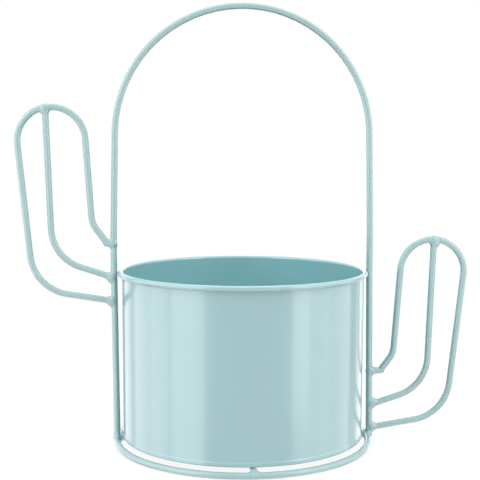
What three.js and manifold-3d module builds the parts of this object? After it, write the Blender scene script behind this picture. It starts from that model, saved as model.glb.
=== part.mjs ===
// A plant pot in a wire stand shaped like a cactus: a round sheet-steel pot stands on crossed
// wires inside a base ring, between the legs of a tall wire arch that carries two bent arms.
// Millimetres and degrees, +Z up. The arch stands in the XZ plane, the front is towards -Y, and
// the origin is on the floor at the centre of the base ring.

import * as THREE from 'three';
import { mergeVertices } from 'three/addons/utils/BufferGeometryUtils.js';
import Module from 'manifold-3d';

const wasm = await Module();
wasm.setup();

// ---------------------------------------------------------------- driving dimensions

const weldGap = 0.3;          // left between two pieces that are welded together
const seatGap = 0.3;          // left between two pieces that rest on each other

// wire
const wireDiameter = 3.2;     // 3 mm steel wire and its powder coat

// pot
const rimDiameter = 120;      // over the rolled rim
const potHeight = 80;
const sheetThickness = 0.6;   // 0.5 mm steel sheet and its powder coat
const curlDiameter = 2.5;     // the rim is rolled outwards into a tube this thick
const curlMouth = 0.35;       // slit between the end of the roll and the wall
const wallTaper = 0.25;       // radius that the wall loses from rim to hem
const hemHeight = 2.2;        // band at the foot, where the base is seamed in
const hemStep = 0.25;         // the band stands this proud of the wall
const hemLipWidth = 2.4;      // the wall's lower edge turns in by this much
const baseFlangeHeight = 1.6; // the base's edge turns down inside the hem
const baseFitGap = 0.3;       // around the base, inside the wall

// arch and base
const archRise = 126.45;      // from the rim to the top of the arch
const rimClearance = 0.15;    // between the rim and each leg of the arch
const legLean = 0.95;         // each leg leans in by this much between the rim and the arch's curve
const leanStart = 17;         // the lean starts this far above the rim
const ringInset = 0.95;       // the legs stand this far out from the middle of the ring's wire
const footShift = 0.9;        // but both feet were set down this far to the right
const crossWireLift = 0.95;   // the crossed wires' axis above the ring wire's axis

// arms: both are bent on one jig, and differ by what was cut and welded by hand
const leftFootHeight = 69.4;  // where the loop's lower end meets the leg, above the floor
const leftArmHeight = 92.3;   // from there to the middle of the wire at the crown
const leftReach = 44.8;       // from the leg's axis to the outermost point of the loop's axis
const leftEndRise = 28.3;     // the loop's other end, above its foot
const leftEndReach = 3.4;     // and out from the leg's axis there
const leftRibShift = 2.4;     // the rib meets the crown this far outside its middle
const rightFootHeight = 5.3;
const rightArmHeight = 93.1;
const rightReach = 46.7;
const rightEndRise = 29;
const rightEndReach = 5.8;
const rightRibShift = 0.5;
const loopFootSlope = 9.2;    // the loop leaves the leg at this angle above level
const loopKneeRadius = 20.7;
const loopOuterLean = 6.2;    // its outer run leans out from upright
const crownRadius = 15.9;
const loopInnerLean = 3.6;    // its inner run leans out from upright
const loopEndRadius = 17;
const loopEndSlope = 53;      // the inner run turns back to the leg at this angle
const ribRise = 11.3;         // the rib's foot above the loop's foot
const ribSlope = 18.3;
const ribKneeRadius = 20;
const ribLean = 2;

// welds
const beadWidth = 1.4;        // a bead stands out beyond the wire by this much at its root
const beadLength = 2.4;       // and runs out this far along it
const beadToe = 0.6;          // its height over the wire where it runs out
const beadDepth = 1.2;        // it reaches this far down the flanks of the wire it stands on
const beadFlank = 0.5;        // across that wire it bulges only this much as far as along it
const weldDrop = 0.2;         // the lowest weld hangs this far above the floor
const bridgeRoot = 2.2;       // radius of the weld that bridges from the leg to the loop's end
const bridgeWaist = 1.6;
const bridgeDrop = 0.6;       // it sags this far below the middle of that end

// facets
const wireSides = 12;
const beadSides = 16;
const turnedSides = 64;       // the pot and the ring, around the axis
const bendStep = 8;           // degrees of bend between two sections of a wire
const curlStep = 24;

// ---------------------------------------------------------------- derived dimensions

const radians = THREE.MathUtils.degToRad;
const wireRadius = wireDiameter / 2;
const rimRadius = rimDiameter / 2;
const curlRadius = curlDiameter / 2;
const legRadius = rimRadius + rimClearance + wireRadius;   // from the axis to each leg's axis
const ringRadius = legRadius - ringInset;
const archRadius = legRadius - legLean;
const footZ = wireDiameter + weldGap;
const crossWireZ = wireRadius + crossWireLift;
const crossWireTop = crossWireZ + wireRadius;
const potBottom = crossWireTop + seatGap;
const rimTop = potBottom + potHeight;
const archCentre = rimTop + archRise - wireRadius - archRadius;
const curlCentreZ = rimTop - curlRadius;
const curlCentreR = rimRadius - curlRadius;
const wallTopRadius = rimRadius - curlDiameter + sheetThickness;   // outside of the wall
const wallFootRadius = wallTopRadius - wallTaper;
const hemRadius = wallFootRadius + hemStep;

// ---------------------------------------------------------------- shared building blocks

const wirePaint = new THREE.MeshStandardMaterial({ color: 0xabcbcc, roughness: 0.35, metalness: 0 });
const potPaint = new THREE.MeshStandardMaterial({ color: 0xa7c5ca, roughness: 0.22, metalness: 0 });

const planter = new THREE.Group();

// Adds one named piece to the planter.
function addPiece(name, geometry, paint = wirePaint) {
  const piece = new THREE.Mesh(geometry, paint.clone());
  piece.name = name;
  planter.add(piece);
}

// A regular polygon whose flat sides, not its corners, lie at the radius.
function polygon(radius, sides) {
  const corner = radius / Math.cos(Math.PI / sides);
  return Array.from({ length: sides }, (_, i) => {
    const angle = (2 * Math.PI * (i + 0.5)) / sides;
    return new THREE.Vector2(corner * Math.cos(angle), corner * Math.sin(angle));
  });
}

// The axis of a bent wire, with one station wherever it starts, ends or turns.
class WireAxis extends THREE.Curve {
  constructor(stations) {
    super();
    this.stations = stations;
  }

  // The value between the two stations on either side of t.
  between(t, key, target) {
    const place = t * (this.stations.length - 1);
    const before = Math.min(Math.floor(place), this.stations.length - 2);
    const [a, b] = [this.stations[before][key], this.stations[before + 1][key]];
    return target.copy(a).lerp(b, place - before);
  }

  getPoint(t, target = new THREE.Vector3()) {
    return this.between(t, 'at', target);
  }

  getTangent(t, target = new THREE.Vector3()) {
    return this.between(t, 'along', target).normalize();
  }

  getUtoTmapping(u) {
    return u;
  }
}

// A round wire along its stations.
function wireGeometry(stations, radius = wireRadius) {
  const section = new THREE.Shape(polygon(radius, wireSides));
  return new THREE.ExtrudeGeometry(section, {
    steps: stations.length - 1,
    extrudePath: new WireAxis(stations),
  });
}

// A straight wire from one point to another.
function straightWire(from, to, radius = wireRadius) {
  const along = to.clone().sub(from).normalize();
  return wireGeometry([{ at: from, along }, { at: to, along }], radius);
}

// A solid of revolution about the Z axis, from a closed outline of (radius, height) points.
function turned(outline, sides = turnedSides) {
  const points = outline.map(([r, z]) => new THREE.Vector2(r, z));
  return new THREE.LatheGeometry(points, sides).rotateX(Math.PI / 2);
}

// The base ring's wire, or the space that it needs when it is given more radius.
function ringGeometry(radius = wireRadius) {
  const section = polygon(radius, wireSides).map((p) => [ringRadius + p.x, wireRadius + p.y]);
  return turned([...section, section[0]]);
}

// A point in the plane of the arch: u is out from the axis, on the side given by its sign.
const inPlane = (u, z, side = 1) => new THREE.Vector3(side * u, 0, z);

// How far out the axis of a leg is at a height, with its foot shifted and its rim end true.
function legOut(z, side) {
  const down = Math.max(rimTop - z, 0) / (rimTop - footZ);
  return legRadius + side * footShift * down;
}

// ---------------------------------------------------------------- bends

// A bend in the plane of the arch, from one angle to another about its centre.
function arc(centre, radius, from, to) {
  const steps = Math.ceil(Math.abs(to - from) / radians(bendStep));
  const turn = Math.sign(to - from);
  return Array.from({ length: steps + 1 }, (_, i) => {
    const angle = from + ((to - from) * i) / steps;
    const out = new THREE.Vector2(Math.cos(angle), Math.sin(angle));
    return {
      at: centre.clone().addScaledVector(out, radius),
      along: new THREE.Vector2(-out.y, out.x).multiplyScalar(turn),
    };
  });
}

// The bend that rounds the corner between two straight runs.
function knee(before, corner, after, radius) {
  const back = before.clone().sub(corner).normalize();
  const on = after.clone().sub(corner).normalize();
  const half = back.angleTo(on) / 2;
  const middle = back.clone().add(on).normalize();
  const centre = corner.clone().addScaledVector(middle, radius / Math.sin(half));
  const start = corner.clone().addScaledVector(back, radius / Math.tan(half)).sub(centre).angle();
  const end = corner.clone().addScaledVector(on, radius / Math.tan(half)).sub(centre).angle();
  const turn = THREE.MathUtils.euclideanModulo(end - start + Math.PI, 2 * Math.PI) - Math.PI;
  return arc(centre, radius, start, start + turn);
}

// How far from the leg's axis a square-cut wire ends that rises from the leg at an angle.
function startOnLeg(slope) {
  const corner = wireRadius * Math.sin(radians(slope));
  return (wireRadius + weldGap + corner) / Math.cos(radians(slope));
}

// The end of a straight run, on the way to a point.
function runEnd(at, towards) {
  return { at, along: towards.clone().sub(at).normalize() };
}

// The corner where two straight runs meet, each given by a point and a direction.
function crossing(p, alongP, q, alongQ) {
  const reach = q.clone().sub(p).cross(alongQ) / alongP.cross(alongQ);
  return p.clone().addScaledVector(alongP, reach);
}

// A station turned to look back along its own wire.
const turnedBack = ({ at, along }) => ({ at, along: along.clone().negate() });

// Stations drawn in the plane of the arch, set in space on one side of the axis.
function inSpace(stations, side = 1) {
  return stations.map(({ at, along }) => ({
    at: inPlane(at.x, at.y, side),
    along: inPlane(along.x, along.y, side),
  }));
}

// A direction in the plane of the arch, by its angle above level and outwards.
const heading = (degrees) => new THREE.Vector2(Math.cos(radians(degrees)), Math.sin(radians(degrees)));

// ---------------------------------------------------------------- welds

// A closed mesh as a solid that can be cut.
function solid(geometry) {
  const bare = geometry.clone();
  bare.deleteAttribute('normal');
  bare.deleteAttribute('uv');
  const welded = mergeVertices(bare, 1e-4);
  const mesh = new wasm.Mesh({
    numProp: 3,
    vertProperties: new Float32Array(welded.attributes.position.array),
    triVerts: new Uint32Array(welded.index.array),
  });
  return new wasm.Manifold(mesh);
}

// A solid back as a mesh.
function meshOf(manifold) {
  const { vertProperties, triVerts } = manifold.getMesh();
  const geometry = new THREE.BufferGeometry();
  geometry.setAttribute('position', new THREE.BufferAttribute(vertProperties, 3));
  geometry.setIndex(new THREE.BufferAttribute(triVerts, 1));
  return geometry;
}

// A turned lump of weld, from an outline of (radius, distance) points. Its axis starts at `at` and
// runs `along` the wire. What stands out beyond the toe is flattened in the direction `across`.
function lump(outline, at, along, across) {
  const points = outline.map(([r, s]) => new THREE.Vector2(r, s));
  const geometry = new THREE.LatheGeometry(points, beadSides);
  const { position } = geometry.attributes;
  for (let i = 0; i < position.count; i += 1) {
    const r = Math.hypot(position.getX(i), position.getZ(i));
    const bulge = Math.max(r - wireRadius - beadToe, 0);
    position.setZ(i, position.getZ(i) * (1 - (1 - beadFlank) * bulge / Math.max(r, wireRadius)));
  }
  const side = new THREE.Vector3().crossVectors(along, across);
  return solid(geometry.applyMatrix4(new THREE.Matrix4().makeBasis(side, along, across).setPosition(at)));
}

// The hollow-sided bead around a wire's end: `at` is the surface that the end is welded to.
function bead(at, along, across, extra = 0) {
  const toe = wireRadius + beadToe + extra;
  const hollow = [0, 30, 60, 90].map((degrees) => [
    toe + (beadWidth - beadToe) * (1 - Math.sin(radians(degrees))),
    beadLength * (1 - Math.cos(radians(degrees))) + extra * Math.sin(radians(degrees)),
  ]);
  const foot = [[0, -beadDepth - extra], [toe, -beadDepth - extra]];
  return lump([...foot, ...hollow, [0, beadLength + extra]], at, along, across);
}

// What a wire keeps free around itself, so that a weld can be cut to it.
const roomFor = (stations) => solid(wireGeometry(stations, wireRadius + weldGap));

// The surface that a wire's end is welded to.
const weldedFace = ({ at, along }) => at.clone().addScaledVector(along, -weldGap);

// The room for the last stretch of a wire, longer than any bead on it, and for its weld gap.
function roomForEnd(end) {
  const stretch = 2 * (beadLength + wireDiameter);
  const start = end.at.clone().addScaledVector(end.along, stretch);
  return solid(straightWire(weldedFace(end), start, wireRadius + weldGap));
}

// ---------------------------------------------------------------- base ring and crossed wires

const ringRoom = solid(ringGeometry(wireRadius + weldGap));
addPiece('base_ring', ringGeometry());

const crossEnd = ringRadius - wireRadius - weldGap;       // they stop short of the ring's wire
const crossMiddle = wireRadius + weldGap;                 // and two of them of the through wire
const onCross = (x, y) => new THREE.Vector3(x, y, crossWireZ);
const up = new THREE.Vector3(0, 0, 1);
const back = new THREE.Vector3(0, 1, 0);
const right = new THREE.Vector3(1, 0, 0);

// The space that the end of a crossed wire needs, in the direction given from the axis.
function crossEndRoom(direction) {
  const end = direction.clone().multiplyScalar(crossEnd).setZ(crossWireZ);
  return roomForEnd({ at: end, along: direction.clone().negate() });
}

addPiece('cross_wire_through', straightWire(onCross(0, -crossEnd), onCross(0, crossEnd)));
addPiece('cross_wire_left', straightWire(onCross(-crossEnd, 0), onCross(-crossMiddle, 0)));
addPiece('cross_wire_right', straightWire(onCross(crossMiddle, 0), onCross(crossEnd, 0)));

// ---------------------------------------------------------------- arch

// One leg and its half of the arch, from the foot to the top.
function halfArch(side) {
  const foot = new THREE.Vector2(legOut(footZ, side), footZ);
  const rim = new THREE.Vector2(legRadius, rimTop);
  const bend = new THREE.Vector2(legRadius, rimTop + leanStart);
  const centre = new THREE.Vector2(0, archCentre);
  const toBend = bend.clone().sub(centre);
  const tangent = toBend.angle() + Math.acos(archRadius / toBend.length()) - 2 * Math.PI;
  const curve = arc(centre, archRadius, tangent, Math.PI / 2);
  return [
    runEnd(foot, rim),
    { at: rim, along: heading(90) },
    { at: bend, along: heading(90) },
    ...curve,
  ];
}

const rightHalf = inSpace(halfArch(1), 1);
const leftHalf = inSpace(halfArch(-1), -1).reverse();
addPiece('arch_hoop', wireGeometry([...rightHalf, ...leftHalf.slice(1).map(turnedBack)]));

const legRoom = (side) => roomFor(inSpace([
  { at: new THREE.Vector2(legOut(0, side), 0), along: heading(90) },
  { at: new THREE.Vector2(legRadius, rimTop), along: heading(90) },
  { at: new THREE.Vector2(legRadius, archCentre), along: heading(90) },
], side));

// The bead around the foot of a leg, where it stands on the ring.
function footBead(side, extra = 0) {
  return bead(inPlane(legOut(wireDiameter, side), wireDiameter, side), up, right, extra);
}

for (const [name, side] of [['left', -1], ['right', 1]]) {
  const cut = footBead(side)
    .subtract(ringRoom)
    .subtract(legRoom(side))
    .subtract(crossEndRoom(right.clone().multiplyScalar(side)));
  addPiece(`arch_weld_${name}`, meshOf(cut));
}

// ---------------------------------------------------------------- welds of the crossed wires

// Where these welds may be: inside a radius, off the floor, and no higher than the crossed
// wires, because the pot slides over them.
const underPot = (radius) => solid(turned([
  [0, weldDrop],
  [radius, weldDrop],
  [radius, crossWireTop],
  [0, crossWireTop],
]));

// A bead where a crossed wire's end meets the ring, in the direction given from the axis.
function ringEndBead(name, direction) {
  const end = direction.clone().multiplyScalar(ringRadius - wireRadius).setZ(crossWireZ);
  const inwards = direction.clone().negate();
  const cut = bead(end, inwards, up)
    .intersect(underPot(ringRadius))
    .subtract(ringRoom)
    .subtract(crossEndRoom(direction))
    .subtract(footBead(-1, weldGap))
    .subtract(footBead(1, weldGap));
  addPiece(name, meshOf(cut));
}

ringEndBead('cross_weld_front', back.clone().negate());
ringEndBead('cross_weld_back', back);
ringEndBead('cross_weld_left', right.clone().negate());
ringEndBead('cross_weld_right', right);

const throughRoom = roomFor([
  { at: onCross(0, -crossEnd), along: back },
  { at: onCross(0, crossEnd), along: back },
]);
for (const [name, side] of [['left', -1], ['right', 1]]) {
  const outwards = right.clone().multiplyScalar(side);
  const cut = bead(onCross(side * wireRadius, 0), outwards, up)
    .intersect(underPot(ringRadius))
    .subtract(throughRoom)
    .subtract(roomForEnd({ at: onCross(side * crossMiddle, 0), along: outwards }));
  addPiece(`cross_weld_middle_${name}`, meshOf(cut));
}

// ---------------------------------------------------------------- arms

const arms = [
  {
    name: 'left_arm',
    side: -1,
    footHeight: leftFootHeight,
    height: leftArmHeight,
    reach: leftReach,
    endRise: leftEndRise,
    endReach: leftEndReach,
    ribShift: leftRibShift,
  },
  {
    name: 'right_arm',
    side: 1,
    footHeight: rightFootHeight,
    height: rightArmHeight,
    reach: rightReach,
    endRise: rightEndRise,
    endReach: rightEndReach,
    ribShift: rightRibShift,
  },
];

// The middle of the half circle at the top of an arm.
function crownCentre({ footHeight, height, reach }) {
  return new THREE.Vector2(legRadius + reach - crownRadius, footHeight + height - crownRadius);
}

// The outer loop of an arm: out from the leg, up, round the crown, down, and back to the leg.
function loopStations(arm) {
  const crown = crownCentre(arm);
  const curve = arc(crown, crownRadius, -radians(loopOuterLean), Math.PI - radians(loopInnerLean));
  const outerTop = curve[0];
  const innerTop = curve[curve.length - 1];
  const foot = new THREE.Vector2(legOut(arm.footHeight, arm.side), arm.footHeight)
    .addScaledVector(heading(loopFootSlope), startOnLeg(loopFootSlope));
  const outerKnee = crossing(foot, heading(loopFootSlope), outerTop.at, outerTop.along);
  const endHeight = arm.footHeight + arm.endRise;
  const end = new THREE.Vector2(legOut(endHeight, arm.side) + arm.endReach, endHeight);
  const innerKnee = crossing(end, heading(loopEndSlope), innerTop.at, innerTop.along);
  return [
    runEnd(foot, outerKnee),
    ...knee(foot, outerKnee, outerTop.at, loopKneeRadius),
    ...curve,
    ...knee(innerTop.at, innerKnee, end, loopEndRadius),
    { at: end, along: heading(loopEndSlope).negate() },
  ];
}

// The rib up the middle of an arm, from the leg to the underside of the crown.
function ribStations(arm) {
  const inside = crownRadius - wireRadius - weldGap;
  const crownRise = Math.sqrt(inside ** 2 - (arm.ribShift + wireRadius) ** 2);
  const top = crownCentre(arm).add(new THREE.Vector2(arm.ribShift, crownRise));
  const footHeight = arm.footHeight + ribRise;
  const foot = new THREE.Vector2(legOut(footHeight, arm.side), footHeight)
    .addScaledVector(heading(ribSlope), startOnLeg(ribSlope));
  const corner = crossing(foot, heading(ribSlope), top, heading(90 - ribLean));
  return [
    runEnd(foot, corner),
    ...knee(foot, corner, top, ribKneeRadius),
    { at: top, along: heading(90 - ribLean) },
  ];
}

// Where the loop and the rib leave the leg.
function addRootWelds(arm, loopFoot, ribFoot) {
  const leg = legRoom(arm.side);
  const loopWeld = bead(weldedFace(loopFoot), loopFoot.along, back)
    .subtract(leg)
    .subtract(roomForEnd(loopFoot))
    .subtract(footBead(arm.side, weldGap))
    .subtract(ringRoom);
  addPiece(`${arm.name}_weld_foot`, meshOf(loopWeld));
  const ribWeld = bead(weldedFace(ribFoot), ribFoot.along, back)
    .subtract(leg)
    .subtract(roomForEnd(ribFoot));
  addPiece(`${arm.name}_weld_rib`, meshOf(ribWeld));
}

// The weld that bridges the last of the way from the loop's other end to the leg.
function addBridgeWeld(arm, loopEnd) {
  const outline = [
    [0, 0],
    [bridgeRoot, 0],
    [bridgeRoot, wireRadius],
    [bridgeWaist, (wireRadius + arm.endReach) / 2],
    [wireRadius, arm.endReach],
    [0, arm.endReach],
  ];
  const height = loopEnd.at.z - bridgeDrop;
  const start = inPlane(legOut(height, arm.side), height, arm.side);
  const weld = lump(outline, start, inPlane(1, 0, arm.side), back)
    .subtract(legRoom(arm.side))
    .subtract(roomForEnd(loopEnd));
  addPiece(`${arm.name}_weld_end`, meshOf(weld));
}

for (const arm of arms) {
  const loop = inSpace(loopStations(arm), arm.side);
  const rib = inSpace(ribStations(arm), arm.side);
  addPiece(`${arm.name}_loop`, wireGeometry(loop));
  addPiece(`${arm.name}_rib`, wireGeometry(rib));
  addRootWelds(arm, loop[0], rib[0]);
  addBridgeWeld(arm, turnedBack(loop[loop.length - 1]));

  const ribTop = turnedBack(rib[rib.length - 1]);
  const crownWeld = bead(weldedFace(ribTop), ribTop.along, back)
    .subtract(roomFor(loop))
    .subtract(roomForEnd(ribTop));
  addPiece(`${arm.name}_weld_crown`, meshOf(crownWeld));
}

// ---------------------------------------------------------------- pot

// Points round the rolled rim, at one distance from the middle of the roll.
function roll(radius, from, to) {
  const steps = Math.ceil(Math.abs(to - from) / curlStep);
  return Array.from({ length: steps + 1 }, (_, i) => {
    const angle = radians(from + ((to - from) * i) / steps);
    return [curlCentreR + radius * Math.cos(angle), curlCentreZ + radius * Math.sin(angle)];
  });
}

// The wall, with its rim rolled outwards and its hem turned in under the base.
const rollInside = curlRadius - sheetThickness;
const rollEnd = -90 - THREE.MathUtils.radToDeg(Math.asin((rollInside - curlMouth) / curlRadius));
const hemTop = potBottom + hemHeight;
const wallOutline = [
  ...roll(curlRadius, 180, rollEnd),
  ...roll(rollInside, rollEnd, 180),
  [wallFootRadius, hemTop],
  [hemRadius, hemTop - hemStep],
  [hemRadius, potBottom],
  [hemRadius - hemLipWidth, potBottom],
  [hemRadius - hemLipWidth, potBottom + sheetThickness],
  [wallFootRadius - sheetThickness, potBottom + sheetThickness],
];
addPiece('pot_wall', turned([...wallOutline, wallOutline[0]].reverse()), potPaint);

// The base: a disc whose edge turns down and stands inside the hem.
const baseRadius = wallFootRadius - sheetThickness - baseFitGap;
const flangeFoot = potBottom + sheetThickness + seatGap;
const baseUnder = flangeFoot + baseFlangeHeight;
addPiece('pot_base', turned([
  [0, baseUnder],
  [baseRadius - sheetThickness, baseUnder],
  [baseRadius - sheetThickness, flangeFoot],
  [baseRadius, flangeFoot],
  [baseRadius, baseUnder + sheetThickness],
  [0, baseUnder + sheetThickness],
]), potPaint);

export default planter;
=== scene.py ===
"""Studio scene of a sheet-metal plant pot in a wire stand that is bent like a cactus.

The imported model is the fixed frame, in metres, +Z up and the front towards -Y. Every wire, weld and
sheet of the model gets a finer piece here, in the same place, with a gloss powder coat.
"""

import logging
import math
from collections.abc import Iterable, Sequence
from dataclasses import dataclass, field
from enum import Enum

import bpy
from mathutils import Matrix, Vector


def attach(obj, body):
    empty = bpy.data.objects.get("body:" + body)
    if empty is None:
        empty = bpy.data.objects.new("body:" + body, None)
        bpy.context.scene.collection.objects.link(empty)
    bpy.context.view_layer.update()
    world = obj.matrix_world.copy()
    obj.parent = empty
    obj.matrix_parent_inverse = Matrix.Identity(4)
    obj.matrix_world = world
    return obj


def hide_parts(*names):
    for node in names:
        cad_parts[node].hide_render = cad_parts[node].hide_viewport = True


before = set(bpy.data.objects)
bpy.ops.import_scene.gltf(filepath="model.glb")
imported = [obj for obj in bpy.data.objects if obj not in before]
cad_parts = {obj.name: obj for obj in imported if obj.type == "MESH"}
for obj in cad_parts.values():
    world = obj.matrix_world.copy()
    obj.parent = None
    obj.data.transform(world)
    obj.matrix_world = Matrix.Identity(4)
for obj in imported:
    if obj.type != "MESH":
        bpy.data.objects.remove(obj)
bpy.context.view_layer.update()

MM = 0.001
WIRE = 1.6 * MM  # the radius of every wire, over its coat
WHITE = (1, 1, 1, 1)
LOG = logging.getLogger("planter")

Material = bpy.types.Material
Piece = bpy.types.Object
Socket = bpy.types.Node | bpy.types.NodeSocket  # a node stands for its first output
Setting = float | int | bool | str | Vector | tuple | bpy.types.ID


class Body(Enum):
    """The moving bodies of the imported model."""

    FRAME = "wire_frame"
    POT = "pot"


class Slot(Enum):
    """The record's material slots."""

    WIRE = "coated_wire"
    SHEET = "coated_sheet"


class Side(Enum):
    """The two sides of the stand, by the sign of their X."""

    LEFT = -1
    RIGHT = 1

    @property
    def word(self) -> str:
        """The side's name in the CAD."""
        return self.name.lower()


# ---------------- node trees


class Graph:
    """A node tree under construction, with short calls for its nodes and links."""

    def __init__(self, tree: bpy.types.NodeTree) -> None:
        """Starts on an empty tree."""
        self.tree = tree

    def feed(self, socket: bpy.types.NodeSocket, value: Socket | Setting) -> None:
        """Links an input to a node, or sets its value.

        Args:
            socket: the input that is fed.
            value: a node, one of its outputs, or the value itself.
        """
        if isinstance(value, bpy.types.Node):
            value = value.outputs[0]
        if isinstance(value, bpy.types.NodeSocket):
            self.tree.links.new(value, socket)
        else:
            socket.default_value = value

    def add(self, kind: str, feeds: dict[str | int, Socket | Setting] | None = None,
            **settings: Setting) -> bpy.types.Node:
        """Adds a node.

        Args:
            kind: the node's type name.
            feeds: what each input gets, by its name or number.
            **settings: the node's own properties.

        Returns:
            The new node.
        """
        node = self.tree.nodes.new(kind)
        for name, value in settings.items():
            setattr(node, name, value)
        for key, value in (feeds or {}).items():
            self.feed(node.inputs[key], value)
        return node

    def calc(self, operation: str, *terms: Socket | float) -> Socket:
        """Adds a Math node on the given terms."""
        return self.add("ShaderNodeMath", dict(enumerate(terms)), operation=operation)

    def noise(self, place: Socket, scale: Socket | float, detail: float) -> Socket:
        """Adds a noise texture, whose values lie between 0 and 1 and mostly near the middle."""
        return self.add("ShaderNodeTexNoise", {"Vector": place, "Scale": scale, "Detail": detail})

    def mix(self, share: Socket, first: Socket, second: Socket) -> Socket:
        """Blends two shaders."""
        return self.add("ShaderNodeMixShader", {0: share, 1: first, 2: second})

    def rays(self, *kinds: str) -> Socket:
        """Tells some kinds of ray from all others.

        Args:
            *kinds: the kinds, such as Camera.

        Returns:
            A factor that is 1 for these rays and 0 for others.
        """
        path = self.add("ShaderNodeLightPath").outputs
        factor, *others = (path[f"Is {kind} Ray"] for kind in kinds)
        for other in others:
            factor = self.calc("MAXIMUM", factor, other)
        return factor

    def between(self, value: Socket, low: float, high: float, to_low: float = 0.0,
                to_high: float = 1.0, smooth: bool = False) -> Socket:
        """Maps one range of a value to another.

        Args:
            value: the value that is mapped.
            low: its lower end.
            high: its upper end.
            to_low: the result at the lower end.
            to_high: the result at the upper end.
            smooth: whether the change starts and ends gently.

        Returns:
            The mapped value.
        """
        feeds = {0: value, 1: low, 2: high, 3: to_low, 4: to_high}
        kind = "SMOOTHSTEP" if smooth else "LINEAR"
        return self.add("ShaderNodeMapRange", feeds, interpolation_type=kind)


def emptied(owner: Material | bpy.types.World) -> Graph:
    """Switches on the nodes of a material or world, and empties its tree.

    Args:
        owner: the material or world.

    Returns:
        The empty tree.
    """
    owner.use_nodes = True
    owner.node_tree.nodes.clear()
    return Graph(owner.node_tree)


def new_object(name: str, data: bpy.types.ID) -> Piece:
    """Puts an object in the scene, at the origin.

    Args:
        name: its name.
        data: its mesh, lamp or camera.

    Returns:
        The object.
    """
    thing = bpy.data.objects.new(name, data)
    bpy.context.scene.collection.objects.link(thing)
    return thing


class ShapeTree(Graph):
    """A Geometry Nodes tree that shapes a line drawing, and the making of pieces with it."""

    KINDS = {float: "Float", int: "Int", Vector: "Vector"}

    def __init__(self, name: str, inputs: dict[str, float | int | Vector]) -> None:
        """Starts the tree and its named inputs.

        Args:
            name: the tree's name.
            inputs: the usual value of each input, by the input's name.
        """
        super().__init__(bpy.data.node_groups.new(name, "GeometryNodeTree"))
        self.usual = inputs
        kinds = {key: self.KINDS[type(value)] for key, value in inputs.items()}
        face = self.tree.interface
        face.new_socket("Geometry", in_out="INPUT", socket_type="NodeSocketGeometry")
        sockets = {key: face.new_socket(key, in_out="INPUT", socket_type=f"NodeSocket{kind}")
                   for key, kind in (kinds | {"Material": "Material"}).items()}
        face.new_socket("Geometry", in_out="OUTPUT", socket_type="NodeSocketGeometry")
        self.identifiers = {key: socket.identifier for key, socket in sockets.items()}
        self.given = self.tree.nodes.new("NodeGroupInput").outputs

    def swing(self, place: Socket, size: Socket | float) -> Socket:
        """A coarse noise of a given size that swings about zero."""
        return self.calc("SUBTRACT", self.noise(place, self.calc("DIVIDE", 1.0, size), 1.0), 0.5)

    def finish(self, geometry: Socket) -> None:
        """Ends the tree: smooth shading, plain geometry, material.

        Args:
            geometry: the finished shape.
        """
        smooth = self.add("GeometryNodeSetShadeSmooth", {"Geometry": geometry})
        real = self.add("GeometryNodeRealizeInstances", {"Geometry": smooth})
        dressed = self.add("GeometryNodeSetMaterial",
                           {"Geometry": real, "Material": self.given["Material"]})
        self.feed(self.tree.nodes.new("NodeGroupOutput").inputs[0], dressed)

    def shape(self, name: str, lines: Sequence["Line"], values: dict[str, Setting],
              material: Material) -> Piece:
        """Runs the tree on a line drawing.

        Args:
            name: the piece's name.
            lines: the drawing; the tree finds each line's number in the attribute "line".
            values: the inputs that differ from their usual values, by name.
            material: the piece's finish.

        Returns:
            The piece, a plain mesh at the origin.
        """
        points, edges, numbers, swells = [], [], [], []
        for number, line in enumerate(lines):
            run = range(len(points), len(points) + len(line.points))
            edges += [*zip(run, run[1:])] + ([(run[-1], run[0])] if line.closed else [])
            points += line.points
            numbers += [number] * len(run)
            swells += line.thickening or [1.0] * len(run)
        drawing = bpy.data.meshes.new(f"{name}_lines")
        drawing.from_pydata(points, edges, [])
        drawing.attributes.new("line", "INT", "POINT").data.foreach_set("value", numbers)
        drawing.attributes.new("swell", "FLOAT", "POINT").data.foreach_set("value", swells)
        carrier = new_object(f"{name}_carrier", drawing)
        modifier = carrier.modifiers.new("shape", "NODES")
        modifier.node_group = self.tree
        for key, value in (self.usual | values | {"Material": material}).items():
            modifier[self.identifiers[key]] = value
        graph = bpy.context.evaluated_depsgraph_get()
        mesh = bpy.data.meshes.new_from_object(carrier.evaluated_get(graph), depsgraph=graph)
        mesh.name = name
        bpy.data.objects.remove(carrier)
        bpy.data.meshes.remove(drawing)
        return new_object(name, mesh)


# ---------------- finishes


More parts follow.
